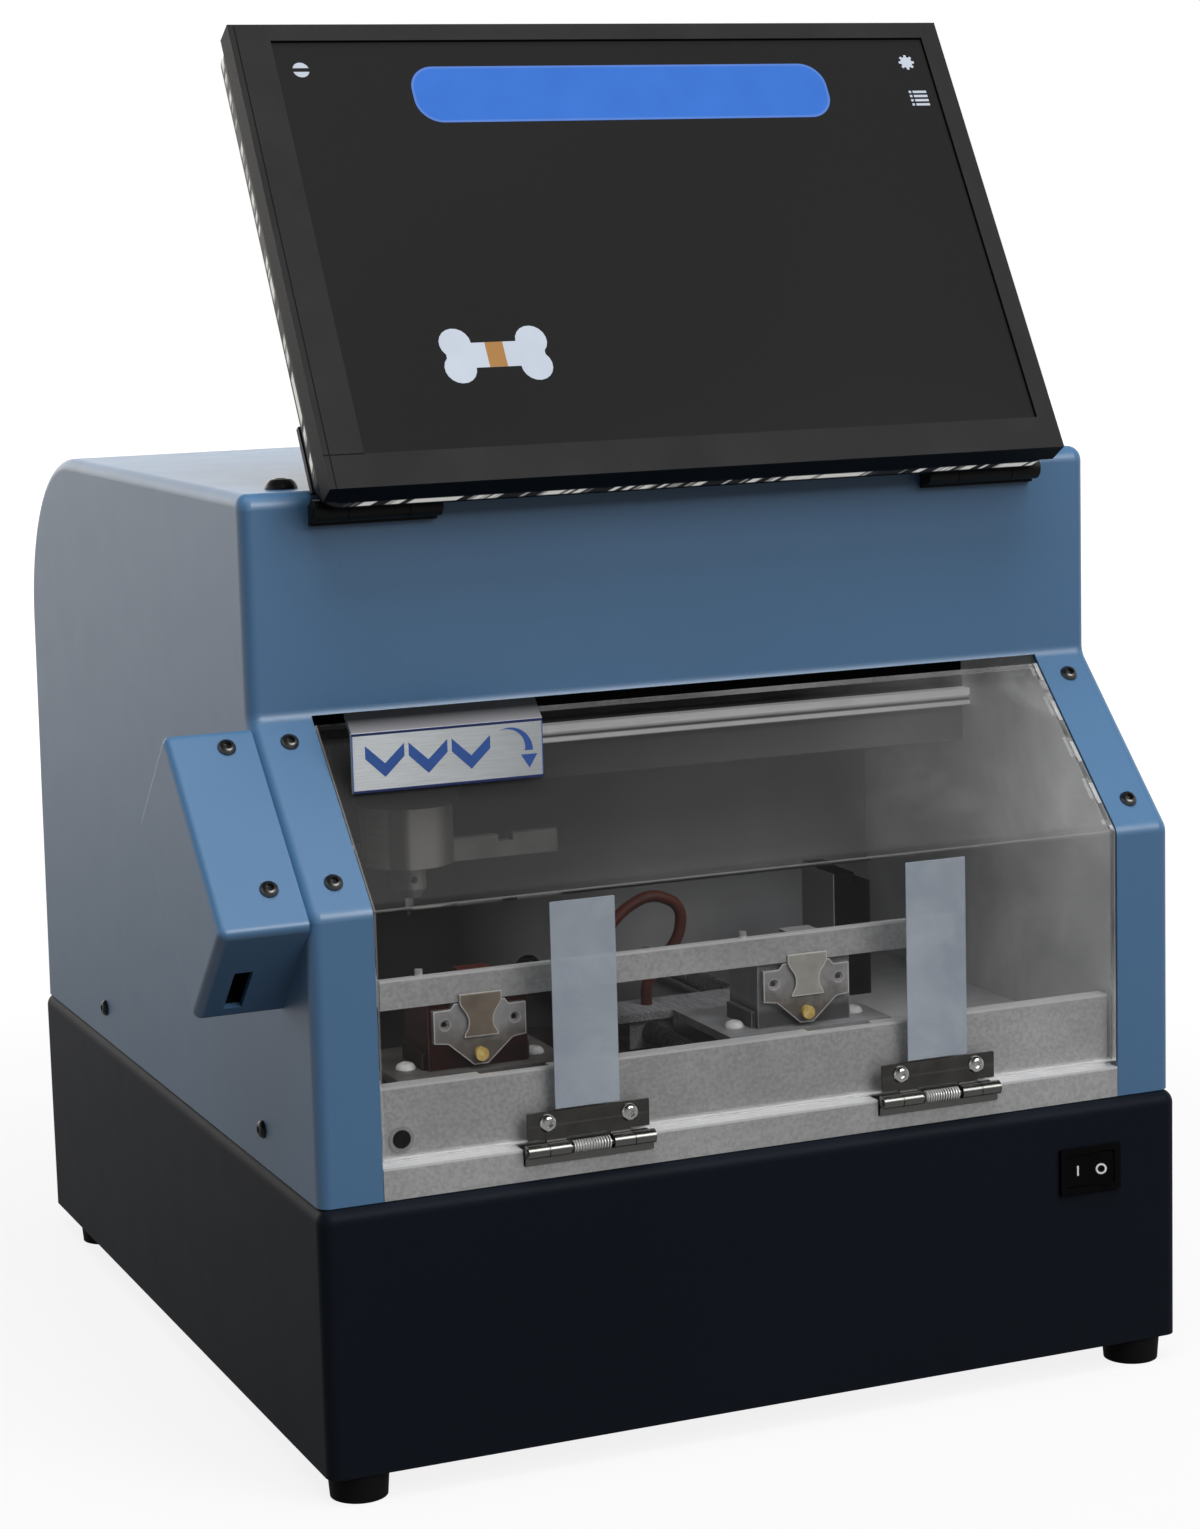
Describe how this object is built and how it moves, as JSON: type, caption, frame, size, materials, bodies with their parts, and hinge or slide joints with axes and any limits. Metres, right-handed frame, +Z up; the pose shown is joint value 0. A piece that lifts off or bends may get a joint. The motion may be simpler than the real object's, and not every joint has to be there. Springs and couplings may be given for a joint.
{
  "type": "tag engraving machine",
  "caption": "Desktop engraving machine: painted cabinet, sprung clear door, tag clamps on a moving table, spindle on cross and upright slides, tilting screen.",
  "frame": {"origin": "middle of the machine's footprint, on the plane its feet stand on", "axes": "+X to the viewer's right, +Y from the door to the back, +Z up"},
  "size_m": [0.3712, 0.3896, 0.5083],
  "materials": {
    "navy_paint": "semi-gloss dark blue-black paint",
    "blue_paint": "satin mid-blue paint",
    "rubber": "matt black",
    "black_metal": "satin black",
    "black_plastic": "fine-grained black",
    "gloss_black": "gloss black",
    "aluminium": "brushed and slightly stained",
    "dark_steel": "dark grey",
    "steel": "bright steel",
    "brass": "bright",
    "clear_acrylic": "clear, polished edges",
    "frosted_strip": "frosted, lets light through",
    "screen": "lit screen, near black",
    "hose": "red-brown tube"
  },
  "bodies": {
    "chassis": {"base_box": "navy_paint", "base_floor": "navy_paint", "rubber_feet": "rubber", "hood_shell": "blue_paint", "rear_panel": "blue_paint", "post_screws": "black_metal", "hood_screws": "black_metal", "side_port_box": "blue_paint", "port_socket": "black_plastic", "switch_bezel": "black_plastic", "power_inlet": "black_plastic", "power_supply": "aluminium", "front_ledge": "aluminium", "inner_front_panel": "aluminium", "side_plate_left": "aluminium", "side_plate_right": "aluminium", "deck_plate": "aluminium", "rear_bulkhead": "dark_steel", "y_guide_rods": "steel", "drive_motors": "black_plastic", "air_valve": "black_plastic", "x_beam": "dark_steel", "x_rail": "aluminium", "hinge_lower_leaves": "steel", "hinge_pins": "steel", "hinge_springs": "steel", "plunger_collar": "steel", "monitor_brackets": "black_metal", "monitor_pins": "black_metal"},
    "door": {"door_panel": "clear_acrylic", "door_strips": "frosted_strip", "hinge_upper_leaves": "steel", "hinge_screws": "steel", "door_handle": "aluminium"},
    "monitor": {"monitor_bezel": "black_plastic", "screen_panel": "screen", "monitor_trim": "clear_acrylic", "monitor_back": "black_plastic", "monitor_arms": "black_metal"},
    "rocker": {"power_rocker": "gloss_black"},
    "plunger": {"door_plunger": "gloss_black"},
    "tag_table": {"clamp_table": "black_metal", "clamp_bases": "aluminium", "clamp_blocks": "dark_steel", "clamp_faces": "steel", "clamp_screws": "brass", "clamp_base_screws": "steel", "clamp_bar": "aluminium", "clamp_hose": "hose"},
    "clip_left": {"clamp_clip_left": "steel"},
    "clip_right": {"clamp_clip_right": "steel"},
    "table_screw": {"y_lead_screw": "dark_steel"},
    "cross_slide": {"x_carriage": "black_metal", "z_motor": "black_plastic"},
    "cross_screw": {"x_lead_screw": "steel"},
    "upright_slide": {"z_slide": "black_metal", "spindle_body": "steel"},
    "upright_screw": {"z_lead_screw": "steel"},
    "spindle": {"collet_nose": "steel", "engraving_cutter": "steel"}
  },
  "joints": [
    {"name": "door_hinge", "type": "hinge", "parent": "chassis", "child": "door", "pos_m": [0.01485, -0.18974, 0.116], "axis": [1, 0, 0], "range_deg": [0, 95], "stiffness_Nm_per_rad": 0.25, "springref_deg": -28.65},
    {"name": "screen_tilt", "type": "hinge", "parent": "chassis", "child": "monitor", "pos_m": [0.01485, -0.13374, 0.338], "axis": [1, 0, 0], "range_deg": [-14, 30]},
    {"name": "power_rocker_turn", "type": "hinge", "parent": "chassis", "child": "rocker", "pos_m": [0.14605, -0.18824, 0.0801], "axis": [0, 0, 1], "range_deg": [0, 20]},
    {"name": "door_plunger_press", "type": "slide", "parent": "chassis", "child": "plunger", "axis": [0, 1, 0], "range_m": [0, 0.003], "stiffness_N_per_m": 200},
    {"name": "tag_table_slide", "type": "slide", "parent": "chassis", "child": "tag_table", "axis": [0, 1, 0], "range_m": [0, 0.08]},
    {"name": "table_screw_turn", "type": "hinge", "parent": "chassis", "child": "table_screw", "pos_m": [0.00385, -0.09074, 0.1324], "axis": [0, 1, 0], "range_deg": [0, 5760]},
    {"name": "clip_left_lift", "type": "hinge", "parent": "tag_table", "child": "clip_left", "pos_m": [-0.08765, -0.17104, 0.1554], "axis": [1, 0, 0], "range_deg": [0, 12], "stiffness_Nm_per_rad": 0.3, "springref_deg": -5.73},
    {"name": "clip_right_lift", "type": "hinge", "parent": "tag_table", "child": "clip_right", "pos_m": [0.03935, -0.17104, 0.1554], "axis": [1, 0, 0], "range_deg": [0, 12], "stiffness_Nm_per_rad": 0.3, "springref_deg": -5.73},
    {"name": "cross_slide_travel", "type": "slide", "parent": "chassis", "child": "cross_slide", "axis": [1, 0, 0], "range_m": [0, 0.17]},
    {"name": "cross_screw_turn", "type": "hinge", "parent": "chassis", "child": "cross_screw", "pos_m": [0.01485, -0.06674, 0.281], "axis": [1, 0, 0], "range_deg": [0, 6120]},
    {"name": "upright_slide_travel", "type": "slide", "parent": "cross_slide", "child": "upright_slide", "axis": [0, 0, -1], "range_m": [0, 0.025]},
    {"name": "upright_screw_turn", "type": "hinge", "parent": "cross_slide", "child": "upright_screw", "pos_m": [-0.08955, -0.10674, 0.29], "axis": [0, 0, 1], "range_deg": [0, 1800]},
    {"name": "spindle_turn", "type": "hinge", "parent": "upright_slide", "child": "spindle", "pos_m": [-0.08955, -0.10674, 0.2], "axis": [0, 0, 1], "continuous": true}
  ],
  "couplings": [
    {"joint": "table_screw_turn", "follows": "tag_table_slide", "rad_per_m": 1256.6},
    {"joint": "cross_screw_turn", "follows": "cross_slide_travel", "rad_per_m": 628.32},
    {"joint": "upright_screw_turn", "follows": "upright_slide_travel", "rad_per_m": 1256.6}
  ]
}
